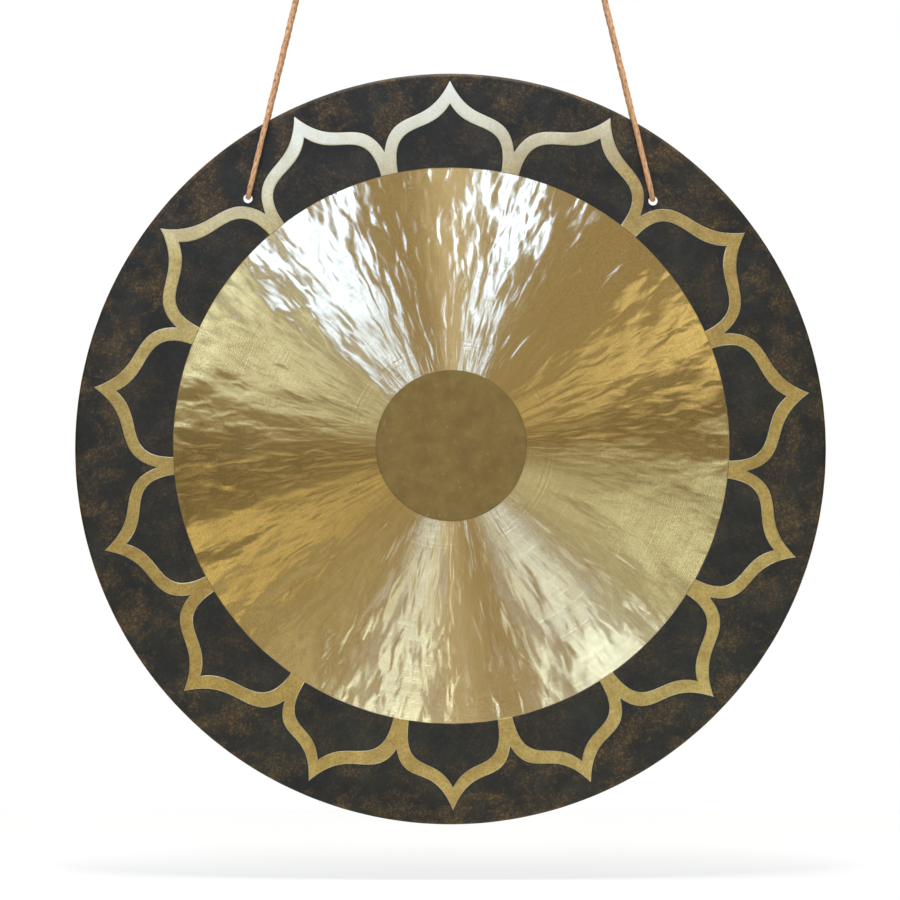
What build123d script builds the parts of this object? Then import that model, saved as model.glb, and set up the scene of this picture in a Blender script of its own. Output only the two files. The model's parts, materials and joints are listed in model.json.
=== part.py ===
"""Tam tam gong with a lotus border, hung by two cord loops from two steel S-hooks.

Frame: millimetres, +Z up, the gong's face towards -Y. The origin is the middle of the line on which
the two hooks bear when they hang on a rail: X runs along that rail, Y = 0 is the middle of the plate.
"""
from build123d import *
from math import asin, cos, degrees, hypot, pi, radians, sin, sqrt, tan
import os

# ---- driving dimensions ------------------------------------------------------------------------
GONG_DIAMETER = 610.0       # a 24 inch gong
PLATE = 1.6                 # thickness of the bronze plate
LIP_DEPTH = 4.0             # face to the back of the rolled edge
EDGE_RADIUS = 3.0           # outside radius of the rolled edge
FIELD_RADIUS = 225.5        # bright lathed ring, outside
BOSS_RADIUS = 61.3          # dark centre disc
LATHE_CUT = 0.2             # metal turned off the bright ring
FIELD_RISE = 2.5            # how far the centre stands forward of the border
PATTERN_RISE = 2.8          # the ring and the boss sit this far above the plate's centre

HOLE_X = 164.4              # hanging holes, either side of the middle
HOLE_Z = {-1: 203.3, 1: 201.5}  # their heights above the gong's centre, left and right
HOLE_DIAMETER = 8.0
HOLE_EDGE = 0.3             # broken edge of the holes

CORD_DIAMETER = 5.0
CORD_LEAN = 13.6            # degrees from upright, the two cords leaning towards each other
TURN_RADIUS = 5.6           # cord centreline where it folds over the hook and through the plate
LIP_CLEARANCE = 2.2         # the back strand passes the rolled edge this far off
PLATE_CLEARANCE = 0.3       # cord to the top of its hole

KNOT_DIAMETER = 14.0
KNOT_LENGTH = 14.0
KNOT_FILLET = 4.0
KNOT_BELOW_HOOK = 12.0      # hook wire down to the top of the knot
TAIL_REACH = 18.0           # knot centre to the cut end of each tail

HOOK_WIRE = 5.0
HOOK_INSIDE = 15.0          # inside width of both bends
HOOK_CENTRES = 34.0         # lower bend's centre to upper bend's centre
HOOK_TIP_LOWER = 165.0      # degrees round the lower bend where the wire ends
HOOK_TIP_UPPER = -15.0      # the same for the upper bend
HANG_HEIGHT = 448.0         # gong's centre up to the line where the hooks bear

# ---- worked out from them ----------------------------------------------------------------------
GONG_RADIUS = GONG_DIAMETER / 2
GONG_Z = -HANG_HEIGHT
FRONT = -PLATE / 2
HOLE_RADIUS = HOLE_DIAMETER / 2
WIRE_RADIUS = HOOK_WIRE / 2
BEND_RADIUS = HOOK_INSIDE / 2 + WIRE_RADIUS
HOOK_REACH = 2 * BEND_RADIUS + HOOK_CENTRES - WIRE_RADIUS   # lower wire's middle to the bearing point
HOOK_WIRE_Z = -HOOK_REACH * cos(radians(CORD_LEAN))         # height of the lower wire's middle
CORNER_REACH = TURN_RADIUS / cos(radians(30))               # corners of a half turn in three steps
ARC_BULGE = 1.0155 * TURN_RADIUS                            # how far the rounded half turn reaches
HOLE_TURN = HOLE_RADIUS - PLATE_CLEARANCE - CORD_DIAMETER / 2 + ARC_BULGE
EDGE_PITCH = 0.45           # share of a run that each of its two arcs uses

os.makedirs("parts", exist_ok=True)


def along(side, s, y=0.0, t=0.0):
    """A point s up the cord from its hole, y behind the plate's middle, t across the cord to the right."""
    lean = radians(CORD_LEAN)
    x = side * HOLE_X - side * s * sin(lean) + t * cos(lean)
    z = GONG_Z + HOLE_Z[side] + s * cos(lean) + side * t * sin(lean)
    return Vector(x, y, z)


def hook_wire_height(side):
    """Distance up the cord from its hole to the middle of the hook's lower wire."""
    return (HOOK_WIRE_Z - GONG_Z - HOLE_Z[side]) / cos(radians(CORD_LEAN))


def lip_height(side):
    """Distance up the cord from its hole to the gong's edge."""
    across = -HOLE_X * sin(radians(CORD_LEAN)) + HOLE_Z[side] * cos(radians(CORD_LEAN))
    return -across + sqrt(across**2 + GONG_RADIUS**2 - HOLE_X**2 - HOLE_Z[side] ** 2)


def half_turn(middle, first_y):
    """Three corners of a half turn about (middle, 0), starting from the strand at first_y."""
    up = 1 if first_y > 0 else -1
    corners = []
    for step in (1, 0, -1):
        s = middle + up * CORNER_REACH * cos(radians(60 * step))
        corners.append((s, up * step * CORNER_REACH * sin(radians(60))))
    return corners


def cord_route(side):
    """From the knot's top over the hook, down the front, through the hole, up the back to the knot."""
    hook = hook_wire_height(side)
    lip = lip_height(side)
    lip_y = FRONT + LIP_DEPTH + LIP_CLEARANCE + CORD_DIAMETER / 2
    fall = (lip_y - TURN_RADIUS) / (hook + CORNER_REACH / 2 - lip)
    knot_top = hook - KNOT_BELOW_HOOK
    knot_base = knot_top - KNOT_LENGTH
    plane_points = [(knot_top, lip_y - fall * (knot_top - lip))]
    plane_points += half_turn(hook, TURN_RADIUS)
    plane_points += half_turn(HOLE_TURN, -TURN_RADIUS)
    plane_points += [(lip, lip_y), (knot_base, lip_y - fall * (knot_base - lip))]
    return [along(side, s, y) for s, y in plane_points]


def arc_radii(points):
    """The radius at each inner point: 0.45 of its shorter run over the tangent of half its turn."""
    radii = []
    for before, here, after in zip(points, points[1:], points[2:]):
        run_in = here - before
        run_out = after - here
        half = radians(run_in.get_angle(run_out)) / 2
        radii.append(EDGE_PITCH * min(run_in.length, run_out.length) / tan(half))
    return radii


# ---- gong: one plate with a rolled edge, a lathed ring, a boss and two holes --------------------
centre = Vector(0, 0, GONG_Z)
pattern = Vector(0, 0, GONG_Z + PATTERN_RISE)
face_plane = Plane(origin=centre, x_dir=(1, 0, 0), z_dir=(0, 0, 1))
inner_edge = GONG_RADIUS - EDGE_RADIUS
crown = FRONT - FIELD_RISE

with BuildPart() as gong_disc:
    # border and rolled edge, closed in the middle by a plain plate
    with BuildSketch(face_plane):
        with BuildLine():
            Polyline((0, FRONT + PLATE), (0, FRONT), (inner_edge, FRONT))
            CenterArc((inner_edge, FRONT + EDGE_RADIUS), EDGE_RADIUS, -90, 90)
            Polyline(
                (GONG_RADIUS, FRONT + EDGE_RADIUS),
                (GONG_RADIUS, FRONT + LIP_DEPTH),
                (GONG_RADIUS - PLATE, FRONT + LIP_DEPTH),
                (GONG_RADIUS - PLATE, FRONT + EDGE_RADIUS),
            )
            CenterArc((inner_edge, FRONT + EDGE_RADIUS), EDGE_RADIUS - PLATE, 0, -90)
            Line((inner_edge, FRONT + PLATE), (0, FRONT + PLATE))
        make_face()
    revolve(axis=Axis(centre, (0, 1, 0)))
    # the disc inside the ring's outer edge is cut out and made again, domed forward and lathed
    with BuildSketch(Plane(origin=pattern, z_dir=(0, 1, 0))):
        Circle(FIELD_RADIUS)
    extrude(amount=20, both=True, mode=Mode.SUBTRACT)
    with BuildSketch(Plane(origin=pattern, x_dir=(1, 0, 0), z_dir=(0, 0, 1))):
        with BuildLine():
            dome = [
                (BOSS_RADIUS + share * (FIELD_RADIUS - BOSS_RADIUS), crown + rise * FIELD_RISE)
                for share, rise in ((0, 0), (0.25, 0.16), (0.5, 0.42), (0.75, 0.72), (1, 1))
            ]
            front_line = [(r, y + LATHE_CUT) for r, y in dome]
            back_line = [(r, y + PLATE) for r, y in reversed(dome)]
            boss_line = [(0, crown + PLATE), (0, crown), (BOSS_RADIUS, crown)]
            Polyline(*boss_line, *front_line, *back_line, close=True)
        make_face()
    revolve(axis=Axis(pattern, (0, 1, 0)))
    # hanging holes with broken edges
    for side in (-1, 1):
        with BuildSketch(Plane(origin=along(side, 0), z_dir=(0, 1, 0))):
            Circle(HOLE_RADIUS)
        extrude(amount=10, both=True, mode=Mode.SUBTRACT)
    hole_edges = gong_disc.edges().filter_by(
        lambda edge: edge.geom_type == GeomType.CIRCLE and abs(edge.radius - HOLE_RADIUS) < 0.01
    )
    fillet(hole_edges, radius=HOLE_EDGE)
gong_disc.part.label = "gong_disc"
export_step(gong_disc.part, "parts/gong_disc.step")

# ---- cords, knots and hooks, left and right -----------------------------------------------------
for side, name in ((-1, "left"), (1, "right")):
    route = cord_route(side)
    radii = arc_radii(route)
    with BuildPart() as cord:
        with BuildLine() as cord_line:
            FilletPolyline(*route, radius=radii)
        cord_wire = cord_line.wire()
        with BuildSketch(Plane(origin=cord_wire @ 0, z_dir=cord_wire % 0)):
            Circle(CORD_DIAMETER / 2)
        sweep(path=cord_wire)
    cord.part.label = f"cord_{name}"
    export_step(cord.part, f"parts/cord_{name}.step")
    expected = pi * (CORD_DIAMETER / 2) ** 2 * cord_wire.length
    print(f"cord_{name}: length {cord_wire.length:.1f} mm, volume over section x length "
          f"{cord.part.volume / expected:.4f}, radii", [round(r, 1) for r in radii])

    # knot: a short barrel between the cord's two ends, with the two cut ends standing out of it
    knot_up = (route[0] - route[-1]).normalized()
    knot_middle = (route[0] + route[-1]) / 2
    outward = Vector(side, 0, 0)
    tail_ways = (Vector(0, 1, 0) + outward * 0.5, outward + Vector(0, 0.6, 0) + knot_up * 0.3)
    with BuildPart() as knot:
        with BuildSketch(Plane(origin=route[-1], z_dir=knot_up)):
            Circle(KNOT_DIAMETER / 2)
        extrude(amount=(route[0] - route[-1]).length)
        fillet(knot.edges().filter_by(GeomType.CIRCLE), radius=KNOT_FILLET)
        for way in tail_ways:
            with BuildSketch(Plane(origin=knot_middle, z_dir=way)):
                Circle(CORD_DIAMETER / 2)
            extrude(amount=TAIL_REACH)
    knot.part.label = f"knot_{name}"
    export_step(knot.part, f"parts/knot_{name}.step")

    # S-hook: two bends of round wire, joined by the straight line that is tangent to both
    lower = along(side, hook_wire_height(side) + BEND_RADIUS)
    hook_up = (along(side, 1) - along(side, 0)).normalized()
    hook_across = (along(side, 0, 0, 1) - along(side, 0)).normalized()
    hook_plane = Plane(origin=lower, x_dir=hook_across, z_dir=hook_across.cross(hook_up))
    leave = degrees(asin(2 * BEND_RADIUS / HOOK_CENTRES))
    with BuildPart() as hook:
        with BuildLine(hook_plane) as hook_line:
            CenterArc((0, 0), BEND_RADIUS, HOOK_TIP_LOWER, 360 + leave - HOOK_TIP_LOWER)
            leave_point = (BEND_RADIUS * cos(radians(leave)), BEND_RADIUS * sin(radians(leave)))
            Line(leave_point, (-leave_point[0], HOOK_CENTRES - leave_point[1]))
            CenterArc((0, HOOK_CENTRES), BEND_RADIUS, 180 + leave, HOOK_TIP_UPPER - leave - 180)
        hook_wire = hook_line.wire()
        with BuildSketch(Plane(origin=hook_wire @ 0, z_dir=hook_wire % 0)):
            Circle(WIRE_RADIUS)
        sweep(path=hook_wire)
    hook.part.label = f"hook_{name}"
    export_step(hook.part, f"parts/hook_{name}.step")
    print(f"hook_{name}: wire middle {hook_wire_height(side):.1f} mm up the cord")
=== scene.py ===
"""Tam tam gong with a lotus border: the looks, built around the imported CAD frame, in metres."""
import json
import math

import bpy
import numpy as np
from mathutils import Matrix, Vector, geometry, kdtree, noise


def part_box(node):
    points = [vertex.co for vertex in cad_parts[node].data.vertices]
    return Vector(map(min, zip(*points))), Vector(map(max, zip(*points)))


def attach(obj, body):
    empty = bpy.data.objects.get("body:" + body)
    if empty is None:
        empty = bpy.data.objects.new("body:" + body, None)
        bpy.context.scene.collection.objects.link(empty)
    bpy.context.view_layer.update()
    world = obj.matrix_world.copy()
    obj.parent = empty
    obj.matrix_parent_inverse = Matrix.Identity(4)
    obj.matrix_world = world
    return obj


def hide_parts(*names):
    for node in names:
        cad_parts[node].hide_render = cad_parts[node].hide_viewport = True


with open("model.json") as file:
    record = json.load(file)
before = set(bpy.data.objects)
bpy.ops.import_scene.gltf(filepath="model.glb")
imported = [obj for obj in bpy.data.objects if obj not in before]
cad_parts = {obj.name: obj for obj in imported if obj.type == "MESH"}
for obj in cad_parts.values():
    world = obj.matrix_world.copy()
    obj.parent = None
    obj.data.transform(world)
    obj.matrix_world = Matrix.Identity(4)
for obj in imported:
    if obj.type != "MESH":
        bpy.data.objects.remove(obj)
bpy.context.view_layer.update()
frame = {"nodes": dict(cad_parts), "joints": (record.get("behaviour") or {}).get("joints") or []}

MM = 0.001
TINY = 1e-6

# ---- places from the frame, and the sizes of part.py ---------------------------------------------
gong_low, gong_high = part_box("gong_disc")
GONG_X = (gong_low.x + gong_high.x) / 2
GONG_Z = (gong_low.z + gong_high.z) / 2
GONG_RADIUS = 305.0 * MM
PLATE = 1.6 * MM
FRONT = -PLATE / 2
LIP_DEPTH = 4.0 * MM
EDGE_RADIUS = 3.0 * MM
FLAT_RADIUS = GONG_RADIUS - EDGE_RADIUS
FIELD_RADIUS = 225.5 * MM
BOSS_RADIUS = 61.3 * MM
LATHE_CUT = 0.2 * MM
FIELD_RISE = 2.5 * MM
PATTERN_SHIFT = 0.6 * MM    # ring, boss and border sit this far right of the plate's middle
PATTERN_RISE = 2.8 * MM
PATTERN_X = GONG_X + PATTERN_SHIFT
PATTERN_Z = GONG_Z + PATTERN_RISE

HOLE_X = 164.4 * MM
HOLE_Z = {-1: 203.3 * MM, 1: 201.5 * MM}
HOLE_RADIUS = 4.0 * MM
CORD_DIAMETER = 5.0 * MM
CORD_LEAN = math.radians(13.6)
TURN_RADIUS = 5.6 * MM
LIP_CLEARANCE = 2.2 * MM
PLATE_CLEARANCE = 0.3 * MM
KNOT_LENGTH = 14.0 * MM
KNOT_BELOW_HOOK = 12.0 * MM
HOOK_WIRE_Z = next(j for j in frame["joints"] if j["name"] == "swing")["pos_m"][2]
CORNER_REACH = TURN_RADIUS / math.cos(math.radians(30))   # corners of a half turn in three steps
ARC_BULGE = 1.0155 * TURN_RADIUS                          # how far the rounded half turn reaches
HOLE_TURN = HOLE_RADIUS - PLATE_CLEARANCE - CORD_DIAMETER / 2 + ARC_BULGE
SIDES = ((-1, "left"), (1, "right"))


# ---- camera --------------------------------------------------------------------------------------
CAMERA_DISTANCE = 3.0
VIEW_WIDTH = 0.7305         # what the picture spans at the gong
CAMERA_LEFT = 0.4 * MM      # it stands this far left of the gong's middle, and this far below
CAMERA_DOWN = 0.8 * MM
CAMERA_REACH = 50.0
SENSOR = 36.0


def make_camera():
    data = bpy.data.cameras.new("camera")
    data.sensor_width = SENSOR
    data.lens = SENSOR * CAMERA_DISTANCE / VIEW_WIDTH
    data.clip_end = CAMERA_REACH
    camera = bpy.data.objects.new("camera", data)
    camera.location = (GONG_X - CAMERA_LEFT, FRONT - CAMERA_DISTANCE, GONG_Z - CAMERA_DOWN)
    camera.rotation_euler = (math.pi / 2, 0, 0)
    bpy.context.scene.collection.objects.link(camera)
    bpy.context.scene.camera = camera


# ---- cords ---------------------------------------------------------------------------------------
STRAIGHT = 27 * MM          # a taut strand is straight from this far off a hook or a hole
HOOK_EASE = 0.4 * MM        # corners beside the hook stand out by this, as the spline cuts inside them
BRAID_PITCH = 44 * MM
BRAID_RADIUS = 1.60 * MM
BRAID_WAVE = 0.16 * MM
STRAND_HALF_WIDTH = 1.2 * MM
STRAND_HALF_THICKNESS = 0.50 * MM
CORE_RADIUS = 1.5 * MM
STRANDS_EACH_WAY = 4
STRAND_SIDES = 8
CORE_NUMBER = 9
FIBRE_SHIFT = 0.37          # from one strand to the next, so that no two have the same fibres
CORD_STEP = 1.1 * MM        # between a cord's rings of vertices
KNOT_STEP = 0.8 * MM
ANY_SIDE = (0.3, 0.1, 0.9)  # not along a cord, to start its frames from
SPLINE_STEPS = 64


def along(side, s, y=0.0):
    """A point s up the cord from its hole and y behind the plate's middle."""
    x = side * HOLE_X - side * s * math.sin(CORD_LEAN)
    return Vector((x, y, GONG_Z + HOLE_Z[side] + s * math.cos(CORD_LEAN)))


def cord_route(side):
    """From the knot's top over the hook, down the front, through the hole, up the back to the knot."""
    hook = (HOOK_WIRE_Z - GONG_Z - HOLE_Z[side]) / math.cos(CORD_LEAN)
    across = -HOLE_X * math.sin(CORD_LEAN) + HOLE_Z[side] * math.cos(CORD_LEAN)
    lip = -across + math.sqrt(across**2 + GONG_RADIUS**2 - HOLE_X**2 - HOLE_Z[side] ** 2)
    lip_y = FRONT + LIP_DEPTH + LIP_CLEARANCE + CORD_DIAMETER / 2
    fall = (lip_y - TURN_RADIUS) / (hook + CORNER_REACH / 2 - lip)
    rise = (lip_y - TURN_RADIUS) / (lip - HOLE_TURN + CORNER_REACH / 2)
    knot_top = hook - KNOT_BELOW_HOOK
    knot_base = knot_top - KNOT_LENGTH
    route = (
        (knot_top, lip_y - fall * (knot_top - lip)),
        (hook + CORNER_REACH / 2, TURN_RADIUS + HOOK_EASE),
        (hook + CORNER_REACH, 0.0),
        (hook + CORNER_REACH / 2, -TURN_RADIUS - HOOK_EASE),
        (hook - STRAIGHT, -TURN_RADIUS),
        (HOLE_TURN + STRAIGHT, -TURN_RADIUS),
        (HOLE_TURN - CORNER_REACH / 2, -TURN_RADIUS),
        (HOLE_TURN - CORNER_REACH, 0.0),
        (HOLE_TURN - CORNER_REACH / 2, TURN_RADIUS),
        (HOLE_TURN + STRAIGHT, TURN_RADIUS + rise * STRAIGHT),
        (lip, lip_y),
        (knot_base, lip_y - fall * (knot_base - lip)),
    )
    return [along(side, s, y) for s, y in route]


def read_line(name, points):
    """Points along the NURBS spline that has these control points, closely spaced."""
    curve = bpy.data.curves.new(name, "CURVE")
    curve.dimensions = "3D"
    curve.resolution_u = SPLINE_STEPS
    spline = curve.splines.new("NURBS")
    spline.points.add(len(points) - 1)
    for slot, point in zip(spline.points, points):
        slot.co = (*point, 1)
    spline.order_u = 3
    spline.use_endpoint_u = True
    holder = bpy.data.objects.new(name, curve)
    bpy.context.scene.collection.objects.link(holder)
    bpy.context.view_layer.update()
    mesh = bpy.data.meshes.new_from_object(holder)
    line = np.array([v.co for v in mesh.vertices], float)
    bpy.data.objects.remove(holder)
    bpy.data.curves.remove(curve)
    bpy.data.meshes.remove(mesh)
    return line


def even_steps(line, step):
    """The same line with a point every step metres."""
    lengths = np.r_[0, np.cumsum(np.linalg.norm(np.diff(line, axis=0), axis=1))]
    places = np.linspace(0, lengths[-1], max(2, round(lengths[-1] / step)) + 1)
    return np.stack([np.interp(places, lengths, line[:, k]) for k in range(3)], 1), places


def frames_along(line):
    """A tangent and two cross directions at each point, turned as little as possible along the line."""
    tangents = np.gradient(line, axis=0)
    tangents /= np.linalg.norm(tangents, axis=1)[:, None]
    side = np.cross(tangents[0], ANY_SIDE)
    sides = []
    for tangent in tangents:
        side = side - tangent * side.dot(tangent)
        side = side / np.linalg.norm(side)
        sides.append(side)
    sides = np.array(sides)
    return tangents, sides, np.cross(tangents, sides)


def add_strand(build, centres, outward, half_width, half_thickness, number):
    """Adds a flattened strand: centres along it, and outward the way its flat side faces at each."""
    tangents = np.gradient(centres, axis=0)
    steps = np.linalg.norm(tangents, axis=1)
    tangents /= steps[:, None]
    across = np.cross(tangents, outward)
    across /= np.linalg.norm(across, axis=1)[:, None]
    up = np.cross(across, tangents)
    angles = np.linspace(0, 2 * np.pi, STRAND_SIDES, endpoint=False)
    wide, thick = half_width * np.cos(angles), half_thickness * np.sin(angles)
    ring = wide[None, :, None] * across[:, None] + thick[None, :, None] * up[:, None]
    first = len(build["verts"])
    build["verts"].extend((centres[:, None] + ring).reshape(-1, 3).tolist())
    for run in np.cumsum(steps) + number * FIBRE_SHIFT:
        build["strand"].extend((run, w, t) for w, t in zip(wide, thick))
    for i in range(len(centres) - 1):
        for k in range(STRAND_SIDES):
            a = first + i * STRAND_SIDES + k
            b = first + i * STRAND_SIDES + (k + 1) % STRAND_SIDES
            build["faces"].append((a, b, b + STRAND_SIDES, a + STRAND_SIDES))
            build["slots"].append(0)
    last = first + (len(centres) - 1) * STRAND_SIDES
    build["faces"].append(tuple(first + k for k in reversed(range(STRAND_SIDES))))
    build["faces"].append(tuple(last + k for k in range(STRAND_SIDES)))
    build["slots"].extend((0, 0))


def add_braid(build, line, step):
    """Adds a round braid that follows the line: four strands each way round a core, over and under."""
    centres, places = even_steps(line, step)
    _, across, up = frames_along(centres)
    turn = 2 * np.pi * places / BRAID_PITCH
    add_strand(build, centres, across, CORE_RADIUS, CORE_RADIUS, CORE_NUMBER)
    for way in (1, -1):
        # each strand rides over one crossing and under the next, eight crossings in a turn
        for k in range(STRANDS_EACH_WAY):
            angle = way * turn + k * 2 * np.pi / STRANDS_EACH_WAY
            offset = np.cos(angle)[:, None] * across + np.sin(angle)[:, None] * up
            wave = BRAID_RADIUS + way * BRAID_WAVE * np.cos(STRANDS_EACH_WAY * turn + k * np.pi)
            strand = centres + offset * wave[:, None]
            number = k + STRANDS_EACH_WAY * (way > 0)
            add_strand(build, strand, offset, STRAND_HALF_WIDTH, STRAND_HALF_THICKNESS, number)


def make_object(name, build, materials, smooth=True):
    mesh = bpy.data.meshes.new(name)
    mesh.from_pydata(build["verts"], [], build["faces"])
    if build["strand"]:
        strand = mesh.attributes.new("strand_place", "FLOAT_VECTOR", "POINT")
        strand.data.foreach_set("vector", np.array(build["strand"], np.float32).ravel())
    for material in materials:
        mesh.materials.append(material)
    mesh.polygons.foreach_set("material_index", build["slots"])
    mesh.polygons.foreach_set("use_smooth", [smooth] * len(mesh.polygons))
    mesh.update()
    piece = bpy.data.objects.new(name, mesh)
    bpy.context.scene.collection.objects.link(piece)
    return piece


def empty_build():
    """The lists that a mesh is built up in; strand is only for cords."""
    return {"verts": [], "faces": [], "slots": [], "strand": []}


def make_cords(materials):
    """The two loops of braided cord, each with the knot that closes it."""
    for side, name in SIDES:
        line = read_line(f"route_{name}", cord_route(side))
        build = empty_build()
        add_braid(build, line, CORD_STEP)
        piece = make_object(f"braided_cord_{name}", build, materials)
        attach(piece, "cords")
        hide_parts(f"cord_{name}")
        knot = make_knot(side, name, line, materials)


# ---- knots ---------------------------------------------------------------------------------------
KNOT_WRAPS = 2.25
WRAP_RADIUS = 4.35 * MM
WRAP_PITCH = 4.5 * MM
WRAP_START = -0.35          # radians from straight out to the side
WRAP_STEPS = 72
TAIL_REACH = 17.0 * MM
TAIL_BOW = 1.0 * MM
TAIL_WAYS = ((0.55, 0.75, -0.1), (0.75, 0.35, 0.3))   # of each cut end: outwards, backwards, up the cord
CORE_OVERLAP = 1 * MM       # the cord inside the knot runs this far into the loop at each end


def make_knot(side, name, line, materials):
    """A barrel knot: the cord's end wrapped about the loop, with the two cut ends standing out."""
    top, base = Vector(line[0]), Vector(line[-1])
    axis = (top - base).normalized()
    outward = Vector((side, 0, 0))
    outward = (outward - axis * outward.dot(axis)).normalized()
    back = axis.cross(outward).normalized()
    if back.y < 0:
        back = -back
    middle = (top + base) / 2
    build = empty_build()
    wraps = []
    for k in range(WRAP_STEPS + 1):
        share = k / WRAP_STEPS
        angle = 2 * math.pi * KNOT_WRAPS * share + WRAP_START
        rise = (share - 0.5) * WRAP_PITCH * KNOT_WRAPS
        spoke = outward * math.cos(angle) + back * math.sin(angle)
        wraps.append(middle + axis * rise + spoke * WRAP_RADIUS)
    add_braid(build, np.array(wraps), KNOT_STEP)
    add_braid(build, np.array([base - axis * CORE_OVERLAP, middle, top + axis * CORE_OVERLAP]), KNOT_STEP)
    for start, (out, rear, rise) in zip((wraps[0], wraps[-1]), TAIL_WAYS):
        way = (outward * out + back * rear + axis * rise).normalized()
        end = middle + way * TAIL_REACH
        bow = (start + end) / 2 + way * TAIL_BOW
        add_braid(build, read_line("tail", [start, bow, end]), KNOT_STEP)
    knot = make_object(f"tied_knot_{name}", build, materials)
    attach(knot, "cords")
    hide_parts(f"knot_{name}")
    return knot


# ---- gong: outlines ------------------------------------------------------------------------------
# The border was laid out by hand, so its petals are a little uneven: the angles, in degrees round the
# face from +X, at which each petal comes to its point and at which the next petal meets it.
PETAL_TIPS = (
    8.3, 35.7, 63.9, 90.2, 115.7, 143.5, 170.8, 196.7, 222.3, 246.8, 270.3, 292.7, 316.5, 342.2,
)
PETAL_JOINS = (
    22.2, 50.3, 77.8, 102.9, 129.0, 156.9, 184.2, 209.6, 236.6, 259.7, 281.2, 304.0, 329.8, 355.1,
)
# how far from the centre, in millimetres, the dark notch reaches in at each of those joins
JOIN_RADII = (
    240.0, 241.0, 242.4, 243.2, 240.6, 243.2, 240.4, 244.4, 246.8, 249.2, 247.6, 246.0, 243.6, 241.6,
)
# Half of a petal's outer and inner line, from the join to the tip: Bezier points as (share of the way from
# tip to join, radius in millimetres). The outer line's first point is the join itself.
OUTER_CURVE = ((0.772, 280.0), (0.307, 254.2), (0.0, 294.9))
INNER_HALF = ((0.862, 222.0), (0.867, 271.8), (0.288, 247.0), (0.0, 276.4))
PATTERN_SCALE = (0.996, 1.0045)   # the border is drawn a little taller than it is wide
HALF_PETAL_STEPS = 30
WINDOW_ARC_STEPS = 24
BEVEL = 0.75 * MM           # light worn edge along the bare lines
OUTLINE = 0.75 * MM         # dark outline beside them
LONGEST_MITRE = 0.35        # smallest cosine that a corner is mitred at


def polar(centre_x, centre_z, radius, angle):
    return (centre_x + radius * math.cos(angle), centre_z + radius * math.sin(angle))


def bezier(points, t):
    weights = ((1 - t) ** 3, 3 * t * (1 - t) ** 2, 3 * t * t * (1 - t), t**3)
    return [sum(w * p[k] for w, p in zip(weights, points)) for k in (0, 1)]


def border_point(radius, angle):
    x, z = polar(0, 0, radius * MM, angle)
    return PATTERN_X + x * PATTERN_SCALE[0], PATTERN_Z + z * PATTERN_SCALE[1]


def half_petal(half, tip, join):
    """Points from the join to the tip; tip and join are angles in degrees."""
    points = []
    for k in range(HALF_PETAL_STEPS + 1):
        share, radius = bezier(half, k / HALF_PETAL_STEPS)
        angle = math.radians(tip + share * (join - tip))
        points.append(border_point(radius, angle))
    return points


def petal_joins(k):
    """The angles of the joins before and after petal k, on the same turn as its tip."""
    tip = PETAL_TIPS[k]
    before = PETAL_JOINS[k - 1]
    after = PETAL_JOINS[k]
    if before > tip:
        before -= 360
    if after < tip:
        after += 360
    return before, after


def border_outline():
    """The lotus border's outer line, all the way round."""
    points = []
    for k, tip in enumerate(PETAL_TIPS):
        before, after = petal_joins(k)
        points += half_petal(((1.0, JOIN_RADII[k - 1]), *OUTER_CURVE), tip, before)[:-1]
        points += half_petal(((1.0, JOIN_RADII[k]), *OUTER_CURVE), tip, after)[:0:-1]
    return points


def petal_window(k):
    """The patina inside petal k. It is closed by an arc inside the ring, which the ring's edge cuts off."""
    tip = PETAL_TIPS[k]
    before, after = petal_joins(k)
    left, right = half_petal(INNER_HALF, tip, before), half_petal(INNER_HALF, tip, after)
    foot, radius = INNER_HALF[0]
    first, last = (math.radians(tip + foot * (join - tip)) for join in (after, before))
    turn = (last - first) / WINDOW_ARC_STEPS
    arc = [border_point(radius, first + turn * step) for step in range(1, WINDOW_ARC_STEPS)]
    return left[:-1] + right[::-1] + arc


def offset_outline(points, distance):
    """The closed outline moved outwards by distance, with mitred corners."""
    points = np.array(points)
    ahead = np.roll(points, -1, 0) - points
    ahead /= np.linalg.norm(ahead, axis=1)[:, None]
    behind = np.roll(ahead, 1, 0)
    normal_ahead = np.stack([ahead[:, 1], -ahead[:, 0]], 1)
    normal_behind = np.stack([behind[:, 1], -behind[:, 0]], 1)
    mitre = normal_ahead + normal_behind
    mitre /= np.maximum(np.linalg.norm(mitre, axis=1)[:, None], TINY)
    stretch = 1 / np.maximum((mitre * normal_ahead).sum(1), LONGEST_MITRE)
    return [tuple(p) for p in points + mitre * (distance * stretch)[:, None]]


def circle(centre_x, centre_z, radius, count):
    turn = 2 * math.pi / count
    return [polar(centre_x, centre_z, radius, turn * k) for k in range(count)]


# ---- gong: surfaces ------------------------------------------------------------------------------
# The slots of the gong's materials, in the order that gong_looks makes them.
PLATE_SLOT, DARK_SLOT, EDGE_SLOT, BAND_SLOT, FIELD_SLOT = range(5)
LIP_SLOT, BOSS_SLOT, BOSS_SHADE_SLOT, RIM_SLOT, WINDOW_SLOT = range(5, 10)
# The slot of a spot inside each kind of outline, the innermost kind first.
SLOTS = (
    ("boss", BOSS_SLOT),
    ("boss_shade_line", BOSS_SHADE_SLOT),
    ("field", FIELD_SLOT),
    ("field_lip", LIP_SLOT),
    ("window_dark", WINDOW_SLOT),
    ("window", DARK_SLOT),
    ("window_edge", EDGE_SLOT),
    ("border_flat", BAND_SLOT),
    ("border_edge", EDGE_SLOT),
    ("border_dark", DARK_SLOT),
    ("plate", PLATE_SLOT),
)
# Points round the plate, the ring, the boss and a hole. The back's ring and boss have half as many.
EDGE_STEPS = 720
FIELD_STEPS = 640
BOSS_STEPS = 240
HOLE_STEPS = 40
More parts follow.
